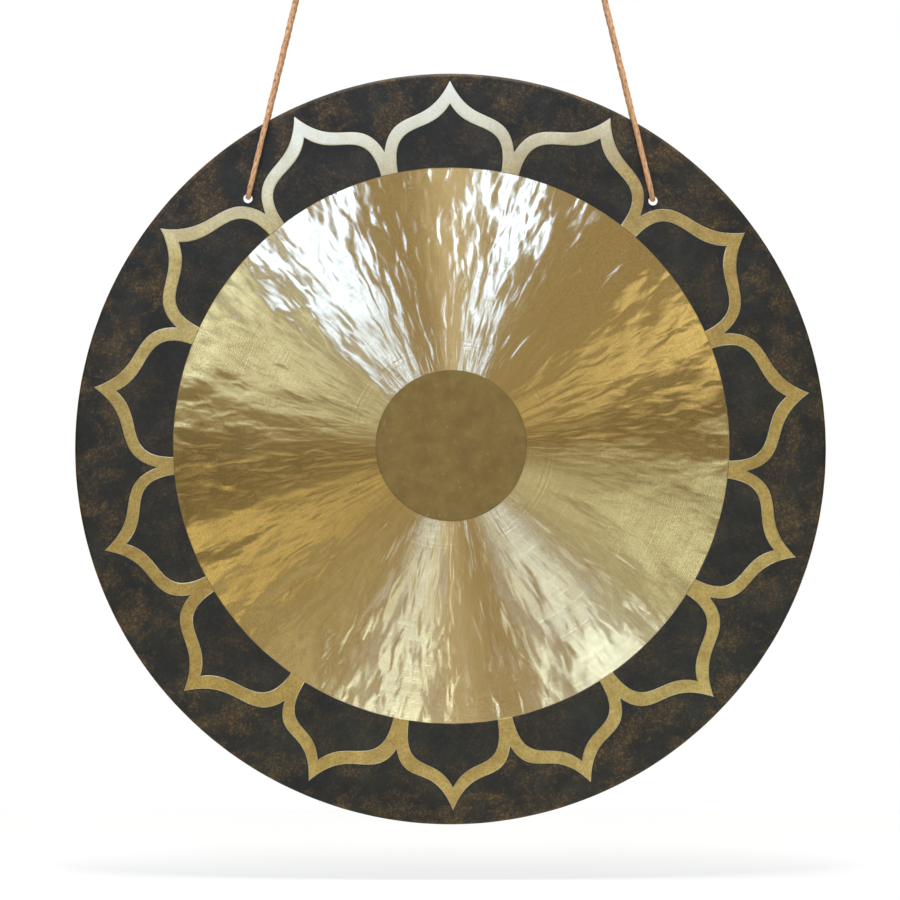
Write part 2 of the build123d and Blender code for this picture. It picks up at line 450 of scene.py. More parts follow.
# Between the points that fill the ring, the border and the back.
FIELD_SPACING = 3.0 * MM
BORDER_SPACING = 3.6 * MM
BACK_SPACING = 6.5 * MM
FILL_CLEARANCE = 0.5        # share of the spacing that those points keep from an outline
ROW_SHIFT = 0.37            # so that the points of neighbouring rows don't line up

# How far the strips along the ring's outer and inner edge reach out and in of those edges.
FRONT_LIP, FRONT_LINE = (0.35 * MM, 0.1 * MM), (0.1 * MM, 0.5 * MM)
BACK_LIP, BACK_LINE = (0.5 * MM, 0.2 * MM), (0.5 * MM, 0.3 * MM)
RELIEF = 0.14 * MM          # the bare lines stand this far above the patina
EDGE_DROP = 0.05 * MM       # and the foot of their worn edge lies this far below it
HOLE_EDGE = 0.3 * MM        # a hole's edge is set back by this
HOLE_TRIM = 0.30 * MM       # patina round the hole narrows it
HOLE_REACH = HOLE_RADIUS + 0.1 * MM   # points nearer than this to a hole's middle are on its edge
LIP_BEVEL = 0.35 * MM       # on the rolled edge's back
FRONT_TURN_STEPS, BACK_TURN_STEPS = 7, 5
RIM_UNEVEN = 0.12 * MM      # the rolled edge is dented by up to this
RIM_CELLS, RIM_CELLS_DEEP = 16, 90
DOME_POWER = 1.3            # the dome is flatter by the boss and steeper at its edge than a cone

# Hammer marks: how high each kind stands, and its size. The first two are drawn out along the radius, with
# so many cells to a unit of direction round the centre, and each so long.
DRAWN_HEIGHT, DRAWN_CELLS, DRAWN_LENGTH = 0.14 * MM, 9.0, 34 * MM
FINE_HEIGHT, FINE_CELLS, FINE_LENGTH, FINE_SEED = 0.03 * MM, 19.0, 16 * MM, 7
BROAD_SIZE, BROAD_SEED = 55 * MM, 3.1
DENT_SIZE, DENT_SEED = 17 * MM, 8.7
RING_BROAD, RING_DENT = 0.45 * MM, 0.03 * MM
BORDER_BROAD, BORDER_DENT = 0.30 * MM, 0.07 * MM
# Where the ring's marks fade in by the boss and out by the border, and where all marks fade out at the rim
# and by a hole.
FADE_IN = (BOSS_RADIUS - 4 * MM, BOSS_RADIUS + 14 * MM)
FADE_OUT = (FIELD_RADIUS - 50 * MM, FIELD_RADIUS + 20 * MM)
RIM_CALM = (GONG_RADIUS - 18 * MM, FLAT_RADIUS)
HOLE_CALM = (5 * MM, 16 * MM)


def dome(radius):
    """How far the face stands forward of the border, by radius from the pattern's centre."""
    share = np.clip((radius - BOSS_RADIUS) / (FIELD_RADIUS - BOSS_RADIUS), 0, 1)
    return FIELD_RISE * (1 - share**DOME_POWER)


def smooth_step(value, low, high):
    """0 below low, 1 above high, and a smooth curve between them."""
    share = np.clip((value - low) / (high - low), 0, 1)
    return share * share * (3 - 2 * share)


def hammer_marks(x, z):
    """Height of the hammered surface at one point, in metres."""
    u, w = x - PATTERN_X, z - PATTERN_Z
    radius = math.hypot(u, w)
    turn_x, turn_z = (u / radius, w / radius) if radius > TINY else (1.0, 0.0)
    drawn = noise.noise(Vector((turn_x * DRAWN_CELLS, turn_z * DRAWN_CELLS, radius / DRAWN_LENGTH)))
    fine = noise.noise(Vector((turn_x * FINE_CELLS + FINE_SEED, turn_z * FINE_CELLS, radius / FINE_LENGTH)))
    broad = noise.noise(Vector((u / BROAD_SIZE, w / BROAD_SIZE, BROAD_SEED)))
    dents = noise.noise(Vector((u / DENT_SIZE, w / DENT_SIZE, DENT_SEED)))
    ringed = smooth_step(radius, *FADE_IN) * (1 - smooth_step(radius, *FADE_OUT))
    # the drawn out marks are deeper towards the edge
    field = (DRAWN_HEIGHT * drawn + FINE_HEIGHT * fine) * radius / FIELD_RADIUS
    field += RING_BROAD * broad + RING_DENT * dents
    border = BORDER_BROAD * broad + BORDER_DENT * dents
    return float(border + (field - border) * ringed)


def ring_outlines(lip, line, field_steps, boss_steps):
    """The ring's outer and inner edge: lip and line are how far the strip along each reaches out and in."""
    return [
        ("field_lip", circle(PATTERN_X, PATTERN_Z, FIELD_RADIUS + lip[0], field_steps)),
        ("field", circle(PATTERN_X, PATTERN_Z, FIELD_RADIUS - lip[1], field_steps)),
        ("boss_shade_line", circle(PATTERN_X, PATTERN_Z, BOSS_RADIUS + line[0], boss_steps)),
        ("boss", circle(PATTERN_X, PATTERN_Z, BOSS_RADIUS - line[1], boss_steps)),
    ]


def front_outlines():
    """The face's outlines as (kind, points), all counter-clockwise seen from the front."""
    border = border_outline()
    outlines = [
        ("plate", circle(GONG_X, GONG_Z, FLAT_RADIUS, EDGE_STEPS)),
        ("border_dark", offset_outline(border, OUTLINE)),
        ("border_edge", border),
        ("border_flat", offset_outline(border, -BEVEL)),
        *ring_outlines(FRONT_LIP, FRONT_LINE, FIELD_STEPS, BOSS_STEPS),
    ]
    for k in range(len(PETAL_TIPS)):
        window = petal_window(k)
        outlines.append(("window_edge", offset_outline(window, BEVEL)))
        outlines.append(("window", window))
        outlines.append(("window_dark", offset_outline(window, -OUTLINE)))
    return outlines + hole_outlines()


def back_outlines():
    return [
        ("plate", circle(GONG_X, GONG_Z, FLAT_RADIUS, EDGE_STEPS)),
        *ring_outlines(BACK_LIP, BACK_LINE, FIELD_STEPS // 2, BOSS_STEPS // 2),
        *hole_outlines(),
    ]


def hole_outlines():
    """The edge of each hole and the hole itself."""
    outlines = []
    for side, name in SIDES:
        x, z = side * HOLE_X, GONG_Z + HOLE_Z[side]
        edge = circle(x, z, HOLE_RADIUS + HOLE_EDGE - HOLE_TRIM, HOLE_STEPS)
        outlines.append((f"hole_edge_{name}", edge))
        outlines.append((f"hole_{name}", circle(x, z, HOLE_RADIUS - HOLE_TRIM, HOLE_STEPS)))
    return outlines


def fill_points(outlines, spacings):
    """Rings of points over the plate, none close to an outline. spacings are (out to radius, spacing)."""
    taken = [p for _, points in outlines for p in points]
    tree = kdtree.KDTree(len(taken))
    for k, (x, z) in enumerate(taken):
        tree.insert((x, z, 0), k)
    tree.balance()
    points = [(PATTERN_X, PATTERN_Z)]
    radius = 0.0
    while radius < GONG_RADIUS:
        spacing = next(step for reach, step in spacings if radius < reach)
        radius += spacing
        count = round(2 * math.pi * radius / spacing)
        shift = ROW_SHIFT * (radius / spacing % 3)
        clearance = FILL_CLEARANCE * spacing
        for k in range(count):
            x, z = polar(PATTERN_X, PATTERN_Z, radius, 2 * math.pi * (k + shift) / count)
            if math.hypot(x - GONG_X, z - GONG_Z) > FLAT_RADIUS - clearance:
                continue
            if tree.find((x, z, 0))[2] > clearance:
                points.append((x, z))
    return points


def plate_face(build, outlines, spacings, front):
    """Adds one face of the plate, and returns the new vertices along each outline by its kind."""
    coords, loops = [], []
    for _, points in outlines:
        loops.append(list(range(len(coords), len(coords) + len(points))))
        coords += points
    coords += fill_points(outlines, spacings)
    flat, _, triangles, origins, _, inside = geometry.delaunay_2d_cdt(
        [Vector(p) for p in coords], [], loops, 0, TINY
    )
    kinds = [kind for kind, _ in outlines]
    keep = []
    touching = [set() for _ in flat]
    for triangle, loops_here in zip(triangles, inside):
        here = {kinds[k] for k in loops_here}
        if "plate" not in here or "hole_left" in here or "hole_right" in here:
            continue
        slot = next(slot for kind, slot in SLOTS if kind in here)
        keep.append((triangle, slot))
        for v in triangle:
            touching[v].add(slot)
    first = len(build["verts"])
    for (x, z), slots in zip(flat, touching):
        build["verts"].append((x, face_height(x, z, slots, front), z))
    for triangle, slot in keep:
        corners = [first + v for v in triangle]
        build["faces"].append(corners if front else corners[::-1])
        build["slots"].append(slot)
    placed = {}
    for new, old in enumerate(origins):
        for k in old:
            placed[k] = first + new
    return {kind: [placed[k] for k in loop] for kind, loop in zip(kinds, loops)}


def face_height(x, z, slots, front):
    """Y of a point on the front or back of the plate, by the parts of the face that meet there."""
    radius = math.hypot(x - PATTERN_X, z - PATTERN_Z)
    near_rim = smooth_step(math.hypot(x - GONG_X, z - GONG_Z), *RIM_CALM)
    hole_off = min(math.hypot(x - side * HOLE_X, z - GONG_Z - HOLE_Z[side]) for side, _ in SIDES)
    calm = (1 - near_rim) * float(smooth_step(hole_off, *HOLE_CALM))
    raised = dome(radius) + hammer_marks(x, z) * calm
    if front:
        if BAND_SLOT in slots:
            raised += RELIEF
        elif EDGE_SLOT in slots:
            raised -= EDGE_DROP
        elif FIELD_SLOT in slots:
            raised -= LATHE_CUT
        if hole_off < HOLE_REACH:
            raised -= HOLE_EDGE
        return FRONT - raised
    if hole_off < HOLE_REACH:
        raised += HOLE_EDGE
    return FRONT + PLATE - raised


def bridge(build, ring_a, ring_b, slot):
    """Adds the faces between two rings of vertices."""
    count = len(ring_a)
    for k in range(count):
        n = (k + 1) % count
        build["faces"].append((ring_a[k], ring_b[k], ring_b[n], ring_a[n]))
        build["slots"].append(slot)


def rim_rings(build):
    """The rolled edge, from the front's outermost circle round to the back's, as rings of vertices."""
    turn_y = FRONT + EDGE_RADIUS
    lip_y = FRONT + LIP_DEPTH
    profile = []
    for k in range(1, FRONT_TURN_STEPS + 1):
        reach, fall = polar(0, 0, EDGE_RADIUS, math.radians(90 * (1 - k / FRONT_TURN_STEPS)))
        profile.append((FLAT_RADIUS + reach, turn_y - fall))
    profile += [
        (GONG_RADIUS, lip_y - LIP_BEVEL),
        (GONG_RADIUS - LIP_BEVEL, lip_y),
        (GONG_RADIUS - PLATE + LIP_BEVEL, lip_y),
        (GONG_RADIUS - PLATE, lip_y - LIP_BEVEL),
    ]
    for k in range(BACK_TURN_STEPS):
        reach, fall = polar(0, 0, EDGE_RADIUS - PLATE, math.radians(90 * k / BACK_TURN_STEPS))
        profile.append((FLAT_RADIUS + reach, turn_y - fall))
    rings = []
    for radius, y in profile:
        ring = []
        for k in range(EDGE_STEPS):
            angle = 2 * math.pi * k / EDGE_STEPS
            x, z = polar(0, 0, RIM_CELLS, angle)
            dent = RIM_UNEVEN * abs(noise.noise(Vector((x, z, y * RIM_CELLS_DEEP))))
            share = float(smooth_step(radius, FLAT_RADIUS, GONG_RADIUS))
            x, z = polar(GONG_X, GONG_Z, radius - dent * share, angle)
            ring.append(len(build["verts"]))
            build["verts"].append((x, y, z))
        rings.append(ring)
    return rings


def make_gong(materials):
    """The gong as one mesh: its front, its back, the rolled edge and the walls of the holes."""
    build = empty_build()
    spacings = ((FIELD_RADIUS, FIELD_SPACING), (GONG_RADIUS, BORDER_SPACING))
    front = plate_face(build, front_outlines(), spacings, True)
    back = plate_face(build, back_outlines(), ((GONG_RADIUS, BACK_SPACING),), False)
    rings = [front["plate"], *rim_rings(build), back["plate"]]
    for ring_a, ring_b in zip(rings, rings[1:]):
        bridge(build, ring_a, ring_b, RIM_SLOT)
    for _, name in SIDES:
        bridge(build, back[f"hole_{name}"], front[f"hole_{name}"], RIM_SLOT)
    gong = make_object("lotus_gong", build, materials)
    sharpen_borders(gong.data)
    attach(gong, "gong")
    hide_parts("gong_disc")


def sharpen_borders(mesh):
    """Marks the edges between different finishes as sharp, so that each finish is shaded by itself."""
    slots = [p.material_index for p in mesh.polygons]
    first_slot = {}
    sharp = [False] * len(mesh.edges)
    for polygon in mesh.polygons:
        for loop in polygon.loop_indices:
            edge = mesh.loops[loop].edge_index
            known = first_slot.setdefault(edge, slots[polygon.index])
            if known != slots[polygon.index]:
                sharp[edge] = True
    marks = mesh.attributes.new("sharp_edge", "BOOLEAN", "EDGE")
    marks.data.foreach_set("value", sharp)


# ---- materials -----------------------------------------------------------------------------------
def tone(red, green, blue):
    """A linear colour from display values of 0 to 1."""
    linear = (c / 12.92 if c <= 0.04045 else ((c + 0.055) / 1.055) ** 2.4 for c in (red, green, blue))
    return (*linear, 1)


# The patina: charcoal from dark to light, and the bare specks and soot on it.
CHARCOAL = (tone(0.105, 0.107, 0.085), tone(0.15, 0.149, 0.116), tone(0.21, 0.205, 0.157))
COPPER_SPECK = tone(0.48, 0.378, 0.21)
SOOT = tone(0.09, 0.09, 0.08)
# The bare lines: from PALE_FROM above the gong's middle to its edge they are painted paler, as a painted
# highlight of the lights above, along a direction that leans PALE_LEAN left of straight up. Grime is
# their dark tone times GRIME_SHADE.
TOP_HIGHLIGHT_PALE = tone(0.96, 0.93, 0.775)
PALE_FROM = 195 * MM
PALE_LEAN = math.radians(10)
GRIME_SHADE = 0.45
# The turned ring. Its marks have so many cells to a unit of direction round the centre, and each is so long
# and so deep, times MARK_GROWTH for each metre from the centre. The lathe's lines are in cells to a metre.
FLAME_CELLS, FLAME_LENGTH, FLAME_DEPTH = 20.0, 20 * MM, 0.36 * MM
WAVE_CELLS, WAVE_LENGTH, WAVE_DEPTH = 8.5, 35 * MM, 0.8 * MM
MARK_GROWTH = 6.0
LATHE_LINES = 2600
LATHE_LEAN = 0.95           # how strongly those lines lean the light
TURNED_PALE = tone(0.885, 0.815, 0.625)
TURNED_DEEP = tone(0.865, 0.79, 0.595)
TURNED_STAIN = tone(0.62, 0.54, 0.36)
# The middle's two colours as display values, because its edge has them darker, as painted shade along the
# step round the boss.
BOSS_DEEP, BOSS_LIGHT = (0.475, 0.385, 0.19), (0.545, 0.45, 0.225)


class Look:
    """A procedural material being built, with short ways to add nodes to it."""

    def __init__(self, name, **numbers):
        self.material = bpy.data.materials.new(name)
        self.material.use_nodes = True
        self.nodes = self.material.node_tree.nodes
        self.links = self.material.node_tree.links
        self.shader = self.nodes["Principled BSDF"]
        self.set(**numbers)

    def set(self, **sockets):
        """Sets inputs of the shader, named with _ for a space."""
        for socket, value in sockets.items():
            self.feed(self.shader.inputs[socket.replace("_", " ")], value)

    def feed(self, socket, value):
        """Links a node's output to the socket, or gives the socket a plain value."""
        if isinstance(value, bpy.types.NodeSocket):
            self.links.new(value, socket)
        else:
            socket.default_value = value

    def node(self, kind, output=0, inputs=None, **settings):
        """Adds a node with these inputs and settings, and returns the named or numbered output."""
        node = self.nodes.new("ShaderNode" + kind)
        for name, value in settings.items():
            setattr(node, name, value)
        for key, value in (inputs or {}).items():
            self.feed(node.inputs[key], value)
        return node.outputs[output]

    def place(self):
        return self.node("TexCoord", "Object")

    def attribute(self, name):
        return self.node("Attribute", "Vector", attribute_name=name)

    def scaled(self, vector, x, y, z):
        return self.node("Mapping", inputs={"Vector": vector, "Scale": (x, y, z)})

    def noise(self, vector, scale, detail=4.0, roughness=0.55, distortion=0.0):
        inputs = {
            "Vector": vector, "Scale": scale, "Detail": detail,
            "Roughness": roughness, "Distortion": distortion,
        }
        return self.node("TexNoise", "Fac", inputs)

    def ramp(self, value, *stops):
        """A colour ramp through (place, colour or grey) stops."""
        output = self.node("ValToRGB", "Color", {"Fac": value})
        ramp = output.node.color_ramp
        while len(ramp.elements) < len(stops):
            ramp.elements.new(1.0)
        for element, (place, colour) in zip(ramp.elements, stops):
            element.position = place
            element.color = colour if isinstance(colour, tuple) else (colour, colour, colour, 1)
        return output

    def mix(self, share, a, b):
        """Colour a, with this share of colour b over it."""
        output = self.node("Mix", 2, data_type="RGBA", blend_type="MIX")
        for key, value in ((0, share), (6, a), (7, b)):
            self.feed(output.node.inputs[key], value)
        return output

    def math(self, operation, a, b=0.0, clamp=False):
        return self.node("Math", 0, {0: a, 1: b}, operation=operation, use_clamp=clamp)

    def bump(self, height, distance, strength=1.0, normal=None):
        inputs = {"Height": height, "Distance": distance, "Strength": strength}
        if normal is not None:
            inputs["Normal"] = normal
        return self.node("Bump", "Normal", inputs)

    def round_centre(self):
        """The direction out from the pattern's centre and the distance from it."""
        shifted = self.node(
            "VectorMath", inputs={0: self.place(), 1: (PATTERN_X, 0, PATTERN_Z)}, operation="SUBTRACT"
        )
        flat = self.node("VectorMath", inputs={0: shifted, 1: (1, 0, 1)}, operation="MULTIPLY")
        outwards = self.node("VectorMath", inputs={0: flat}, operation="NORMALIZE")
        reach = self.node("VectorMath", "Value", {0: flat}, operation="LENGTH")
        return outwards, reach

    def ring_place(self, around, outward):
        """A noise vector with around cells to a unit of direction round the centre, outward metres long."""
        outwards, reach = self.round_centre()
        turned = self.node("VectorMath", inputs={0: outwards, 1: (around, 0, around)}, operation="MULTIPLY")
        depth = self.math("DIVIDE", reach, outward)
        depth = self.node("CombineXYZ", inputs={"Y": depth})
        return self.node("VectorMath", inputs={0: turned, 1: depth}, operation="ADD")


def patina_look(name, warm, wear_and_top_highlight):
    """Fired charcoal patina, cloudy, with brown patches made of small bare copper specks. warm is how much
    redder its brown is, and worn how much of it there is."""
    look = Look(name, Metallic=0.35, Specular_IOR_Level=0.45)
    place = look.place()
    clouds = look.noise(place, 24, 7, 0.66, 0.2)
    grey = look.ramp(clouds, *zip((0.30, 0.52, 0.72), CHARCOAL))
    patches = look.noise(look.scaled(place, 1, 1, 1.15), 32, 8, 0.72, 0.3)
    brown = look.ramp(patches, (0.47, 0.0), (0.70, 0.75 * wear_and_top_highlight))
    colour = look.mix(brown, grey, tone(0.325 + warm, 0.258 + warm * 0.6, 0.140))
    specks = look.ramp(look.noise(place, 480, 4, 0.75), (0.48, 0.0), (0.66, 1.0))
    specks = look.math("MULTIPLY", specks, look.ramp(patches, (0.44, 0.05), (0.63, 0.85 * wear_and_top_highlight)))
    colour = look.mix(specks, colour, COPPER_SPECK)
    soot = look.ramp(look.noise(place, 760, 3, 0.7), (0.38, 0.5), (0.58, 0.0))
    colour = look.mix(soot, colour, SOOT)
    rough = look.ramp(clouds, (0.3, 0.68), (0.7, 0.58))
    grain = look.noise(place, 900, 3, 0.6)
    pits = look.noise(place, 160, 4, 0.6)
    normal = look.bump(pits, 0.22 * MM, 0.45, look.bump(grain, 0.06 * MM, 0.5))
    look.set(Base_Color=colour, Roughness=rough, Normal=normal)
    return look.material


def outline_look():
    """The dark outline beside the bare lines: patina without its brown patches."""
    look = Look("dark_outline", Metallic=0.3, Specular_IOR_Level=0.4)
    clouds = look.noise(look.place(), 240, 4, 0.6)
    look.set(
        Base_Color=look.ramp(clouds, (0.3, tone(0.09, 0.085, 0.075)), (0.7, tone(0.17, 0.155, 0.13))),
        Roughness=look.ramp(clouds, (0.3, 0.5), (0.7, 0.7)),
    )
    return look.material


def bare_bronze_look(name, light, dark, roughness, pale=0.0):
    """Bronze rubbed back to the bare metal by hand, with soft clouds, stains, grime and fine scratches, and
    with a painted highlight that makes it paler towards the top, where the lights above fall on it."""
    look = Look(name, Metallic=0.85)
    place = look.place()
    clouds = look.noise(place, 42, 6, 0.62, 0.3)
    stain = look.noise(place, 130, 5, 0.7, 0.3)
    sand = look.noise(place, 640, 3, 0.65)
    colour = look.ramp(clouds, (0.30, dark), (0.66, light))
    colour = look.mix(look.ramp(stain, (0.52, 0.0), (0.72, 0.6)), colour, dark)
    grime = (*(c * GRIME_SHADE for c in dark[:3]), 1)
    colour = look.mix(look.ramp(sand, (0.36, 0.4), (0.58, 0.0)), colour, grime)
    # painted highlight: the colour turns paler towards the top, as the lights above make the bare bronze
    # look
    upward = (-math.sin(PALE_LEAN), 0, math.cos(PALE_LEAN))
    height = look.node("VectorMath", "Value", {0: place, 1: upward}, operation="DOT_PRODUCT")
    height = look.math("SUBTRACT", height, GONG_Z * upward[2] + PALE_FROM)
    wear_and_top_highlight = look.math("DIVIDE", height, GONG_RADIUS - PALE_FROM, clamp=True)
    colour = look.mix(look.math("MULTIPLY", wear_and_top_highlight, pale), colour, TOP_HIGHLIGHT_PALE)
    rough = look.ramp(clouds, (0.3, roughness + 0.08), (0.7, roughness - 0.04))
    scratches = look.noise(look.scaled(place, 300, 1, 2600), 1, 3, 0.6)
    grain = look.noise(place, 700, 3, 0.6)
    normal = look.bump(grain, 0.08 * MM, 0.45, look.bump(scratches, 0.04 * MM, 0.3))
    look.set(Base_Color=colour, Roughness=rough, Normal=normal)
    return look.material


def lathed_look(name, pale, deep, roughness, stain):
    """Bright bronze turned on a lathe: fine rings that lean the light in and out along the radius, over
    shallow hammer marks that are drawn out along it."""
    look = Look(name, Metallic=1.0, Roughness=roughness, Anisotropic=1.0, Anisotropic_Rotation=0.25)
    outwards, reach = look.round_centre()
    drawn = look.noise(look.ring_place(7.0, 90 * MM), 1.0, 5, 0.6, 0.3)
    tint = look.ramp(drawn, (0.30, deep), (0.68, pale))
    sand = look.noise(look.ring_place(120.0, 0.9 * MM), 1.0, 3, 0.7)
    tint = look.mix(look.ramp(sand, (0.34, 0.30), (0.58, 0.0)), tint, stain)
    deeper = look.math("MULTIPLY", reach, MARK_GROWTH)
    flames = look.noise(look.ring_place(FLAME_CELLS, FLAME_LENGTH), 1.0, 1.6, 0.38, 0.3)
    normal = look.bump(look.math("MULTIPLY", flames, deeper), FLAME_DEPTH)
    waves = look.noise(look.ring_place(WAVE_CELLS, WAVE_LENGTH), 1.0, 0.0)
    normal = look.bump(look.math("MULTIPLY", waves, deeper), WAVE_DEPTH, 1.0, normal)
    line_place = look.node("CombineXYZ", inputs={"X": look.math("MULTIPLY", reach, LATHE_LINES)})
    lines = look.noise(line_place, 1, 2, 0.6)
    lean = look.math("MULTIPLY", look.math("SUBTRACT", lines, 0.5), LATHE_LEAN)
    slope = look.node(
        "VectorTransform", inputs={"Vector": outwards},
        vector_type="VECTOR", convert_from="OBJECT", convert_to="WORLD",
    )
    slope = look.node("VectorMath", inputs={0: slope, "Scale": lean}, operation="SCALE")
    normal = look.node("VectorMath", inputs={0: normal, 1: slope}, operation="ADD")
    normal = look.node("VectorMath", inputs={0: normal}, operation="NORMALIZE")
    tangent = look.node("Tangent", direction_type="RADIAL", axis="Y")
    look.set(Base_Color=tint, Normal=normal, Tangent=tangent)
    return look.material


def boss_look(name, shade=1.0):
    """The unturned middle: dull olive-brown scale with faint clouds and a few light specks. A shade under 1
    makes it darker, as painted shade along the step at the boss's edge."""
    look = Look(name, Metallic=0.55)
    place = look.place()
    clouds = look.noise(place, 70, 6, 0.65)
    deep, light = (tone(*(shade * c for c in colour)) for colour in (BOSS_DEEP, BOSS_LIGHT))
    colour = look.ramp(clouds, (0.3, deep), (0.7, light))
    dull = look.ramp(look.noise(place, 190, 4, 0.7, 0.5), (0.58, 0.0), (0.78, 0.5))
    colour = look.mix(dull, colour, tone(0.66, 0.55, 0.32))
    specks = look.ramp(look.noise(place, 420, 2, 0.6), (0.70, 0.0), (0.76, 0.8))
    colour = look.mix(specks, colour, tone(0.72, 0.66, 0.48))
    normal = look.bump(look.noise(place, 300, 4, 0.65), 0.15 * MM, 0.4)
    look.set(Base_Color=colour, Roughness=look.ramp(clouds, (0.3, 0.66), (0.7, 0.56)), Normal=normal)
    return look.material


def cord_look():
    """Waxed tan cord: smooth plaited strands, with painted shade on their inner sides and in the valleys
    between them, so that their backs stay paler.
    """
    look = Look("tan_cord", Roughness=0.55, Specular_IOR_Level=0.4, Sheen_Weight=0.15, Sheen_Roughness=0.5)
    strand = look.attribute("strand_place")
    fibres = look.noise(look.scaled(strand, 260, 5200, 5200), 1, 3, 0.6)
    tint = look.noise(look.scaled(strand, 45, 500, 500), 1, 4, 0.6)
    colour = look.ramp(tint, (0.30, tone(0.80, 0.58, 0.37)), (0.70, tone(0.93, 0.745, 0.55)))
    colour = look.mix(look.ramp(fibres, (0.35, 0.35), (0.62, 0.0)), colour, tone(0.60, 0.40, 0.24))
    # painted shade: darker on the side of each strand that turns in towards the core, in the valleys
    # between strands
    thick = look.node("SeparateXYZ", "Z", {"Vector": strand})
    valley_shade = look.math("DIVIDE", thick, STRAND_HALF_THICKNESS)
    colour = look.mix(look.ramp(valley_shade, (0.05, 0.55), (0.60, 0.0)), colour, tone(0.42, 0.25, 0.13))
    look.set(Base_Color=colour, Normal=look.bump(fibres, 0.05 * MM, 0.4))
    return look.material


def steel_look():
    """Drawn steel wire: fine lines, small nicks and a little dulling."""
    look = Look("drawn_steel", Metallic=1.0)
    place = look.place()
    cloud = look.noise(place, 130, 5, 0.6)
    colour = look.ramp(cloud, (0.3, tone(0.60, 0.60, 0.59)), (0.7, tone(0.74, 0.735, 0.72)))
    lines = look.noise(look.scaled(place, 3200, 3200, 260), 1, 3, 0.6)
    nicks = look.ramp(look.noise(place, 900, 3, 0.7), (0.62, 0.0), (0.75, 1.0))
    colour = look.mix(look.math("MULTIPLY", nicks, 0.35), colour, tone(0.36, 0.34, 0.32))
    normal = look.bump(lines, 0.03 * MM, 0.5, look.bump(nicks, 0.05 * MM, 0.4))
    look.set(Base_Color=colour, Roughness=look.ramp(cloud, (0.3, 0.42), (0.7, 0.27)), Normal=normal)
    return look.material


def gong_looks():
    """The gong's materials, in the order of its slots."""
    return [
        patina_look("border_patina", 0.0, 1.17),
        outline_look(),
        # the last number of these two is how much painted highlight they get towards the top
        bare_bronze_look("worn_edge", tone(0.81, 0.745, 0.545), tone(0.61, 0.535, 0.345), 0.40, 0.80),
        bare_bronze_look("bare_band", tone(0.84, 0.73, 0.445), tone(0.68, 0.565, 0.31), 0.32, 0.84),
        lathed_look("lathed_bronze", TURNED_PALE, TURNED_DEEP, 0.20, TURNED_STAIN),
        bare_bronze_look("field_edge", tone(0.62, 0.55, 0.37), tone(0.36, 0.30, 0.18), 0.42),
        boss_look("boss_scale"),
        # the boss's edge: darker as painted shade along the step round the boss
        boss_look("boss_edge_painted_shade", 0.86),
        patina_look("rim_patina", 0.08, 1.3),
        patina_look("window_patina", 0.0, 0.5),
    ]


def finish_hooks():
    """The hooks keep their CAD shape and only get the steel look."""
    drawn_steel = steel_look()
    for _, name in SIDES:
        hook = frame["nodes"][f"hook_{name}"]
        hook.data.materials.clear()
        hook.data.materials.append(drawn_steel)


# ---- stage: floor, world and lights --------------------------------------------------------------
FLOOR_DROP = 46 * MM        # floor below the gong's edge
FLOOR_SIDE, FLOOR_FRONT, FLOOR_BACK = 1.2, 0.3, 0.6   # how far it reaches, from under the gong
FLOOR_GLOW = 0.75
FLOOR_TINT = (0.95, 0.98, 1.0)
ROOM_COLOUR = (1.0, 0.80, 0.47)   # what the gong reflects between the cards
ROOM_STRENGTH = 0.41
LAMP_WIDTH, LAMP_LENGTH = 0.5, 1.1
LAMP_POWER = 80
LAMP_FORWARD = 0.55
LAMP_HEIGHT = 2.4           # over the gong's middle

CARD_DISTANCE = 1.2         # the cards stand this far in front of the gong,
CARD_OUTER = 1.05           # and reach out to this far from the ring's axis
COOL = (0.32, 0.48, 1.0)
# Each card: its turn, its spread, how far from the axis it begins, the glow left at its sides, its colour
# and its radiance.
CARDS = (
    ("key_card", 123.5, 17, 0.36, 1.0, COOL, 11.2),
    ("top_card", 76.5, 9, 0.36, 1.0, COOL, 14.5),
    ("left_card", 153, 32, 0.36, 0.3, (0.78, 0.93, 1.0), 2.6),
    ("right_card", 24, 26, 0.36, 0.0, (1.0, 0.86, 0.50), 2.0),
    ("low_left_card", 258, 15, 0.44, 0.75, (0.62, 0.79, 1.0), 5.0),
    ("low_right_card", 305, 21, 0.48, 0.6, (0.55, 0.72, 1.0), 6.3),
    ("side_card", 336, 44, 0.44, 0.2, (0.84, 1.0, 0.98), 2.2),
    ("low_side_card", 206, 28, 0.36, 0.1, (1.0, 0.83, 0.40), 1.5),
    ("low_fill_card", 231, 30, 0.36, 0.4, (0.95, 0.87, 0.6), 0.8),
    ("left_shade", 184, 15, 0.10, 1.0, ROOM_COLOUR, 0.12),
    ("right_shade", 8, 10, 0.10, 1.0, ROOM_COLOUR, 0.14),
)


def make_floor():
    look = Look("pale_floor", Roughness=0.9)
    soft = look.noise(look.place(), 2.0, 3, 0.5)
    look.set(
        Base_Color=look.ramp(soft, (0.3, 0.20), (0.7, 0.23)),
        Emission_Color=(*FLOOR_TINT, 1),
        Emission_Strength=FLOOR_GLOW,
    )
    z = GONG_Z - GONG_RADIUS - FLOOR_DROP
    corners = [
        (-FLOOR_SIDE, -FLOOR_FRONT, z), (FLOOR_SIDE, -FLOOR_FRONT, z),
        (FLOOR_SIDE, FLOOR_BACK, z), (-FLOOR_SIDE, FLOOR_BACK, z),
    ]
    build = {**empty_build(), "verts": corners, "faces": [(0, 1, 2, 3)], "slots": [0]}
    floor = make_object("floor", build, [look.material], smooth=False)


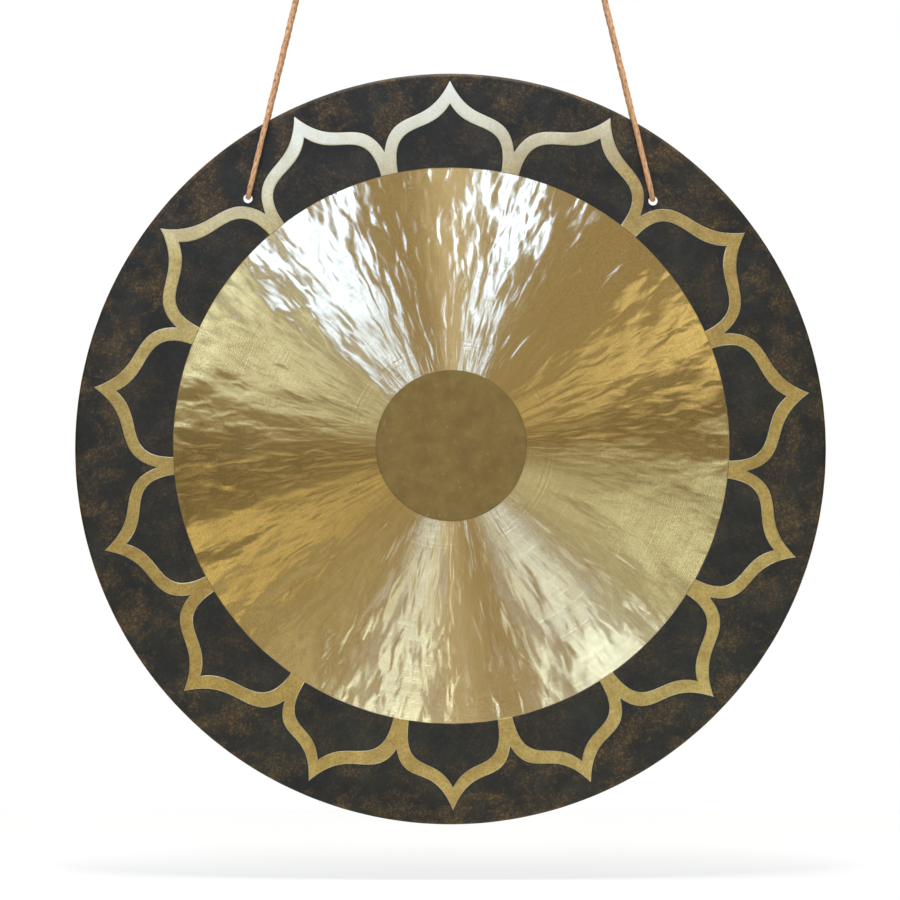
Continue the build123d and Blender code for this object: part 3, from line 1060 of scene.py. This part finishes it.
def make_world():
    """White to the camera, and a warm, dimmer room to everything else."""
    world = bpy.data.worlds.new("studio")
    bpy.context.scene.world = world
    world.use_nodes = True
    nodes, links = world.node_tree.nodes, world.node_tree.links
    seen = nodes["Background"]
    seen.inputs["Color"].default_value = (1, 1, 1, 1)
    seen.inputs["Strength"].default_value = 1.0
    room = nodes.new("ShaderNodeBackground")
    room.inputs["Color"].default_value = (*ROOM_COLOUR, 1)
    room.inputs["Strength"].default_value = ROOM_STRENGTH
    rays = nodes.new("ShaderNodeLightPath")
    mix = nodes.new("ShaderNodeMixShader")
    links.new(rays.outputs["Is Camera Ray"], mix.inputs["Fac"])
    links.new(room.outputs[0], mix.inputs[1])
    links.new(seen.outputs[0], mix.inputs[2])
    links.new(mix.outputs[0], nodes["World Output"].inputs["Surface"])


def add_card(name, turn, spread, inner, edge_glow, colour, radiance):
    """A glowing wedge of card in front of the gong, seen by its reflection only: turn is the side it stands
    on, in degrees counter-clockwise from the right, and spread its width in degrees. It glows less towards
    its two sides, where edge_glow is what is left."""
    look = Look(name, Base_Color=(0, 0, 0, 1), Emission_Color=colour)
    glow = look.node("Attribute", "Fac", attribute_name="glow")
    look.set(Emission_Strength=look.math("MULTIPLY", glow, radiance))
    build = empty_build()
    for side in (-1, 0, 1):
        for reach in (inner, CARD_OUTER):
            x, z = polar(PATTERN_X, PATTERN_Z, reach, math.radians(turn + side * spread / 2))
            build["verts"].append((x, -CARD_DISTANCE, z))
    for first in (0, 2):
        build["faces"].append((first, first + 2, first + 3, first + 1))
        build["slots"].append(0)
    card = make_object(name, build, [look.material], smooth=False)
    glows = card.data.attributes.new("glow", "FLOAT", "POINT")
    glows.data.foreach_set("value", [edge_glow, edge_glow, 1.0, 1.0, edge_glow, edge_glow])
    card.visible_camera = False
    card.visible_shadow = False


def make_lights():
    for name, turn, spread, inner, edge_glow, colour, radiance in CARDS:
        add_card(name, turn, spread, inner, edge_glow, (*colour, 1), radiance)
    # a little in front and long from front to back, so that the thin gong still shades the floor
    light = bpy.data.lights.new("overhead", "AREA")
    light.shape = "RECTANGLE"
    light.size, light.size_y = LAMP_WIDTH, LAMP_LENGTH
    light.energy = LAMP_POWER
    lamp = bpy.data.objects.new("overhead", light)
    lamp.location = (GONG_X, -LAMP_FORWARD, GONG_Z + LAMP_HEIGHT)
    lamp.visible_camera = False
    bpy.context.scene.collection.objects.link(lamp)


# ---- all of it -----------------------------------------------------------------------------------
make_camera()
make_cords([cord_look()])
make_gong(gong_looks())
finish_hooks()
make_floor()
make_world()
make_lights()
bpy.context.scene.view_settings.view_transform = "Standard"
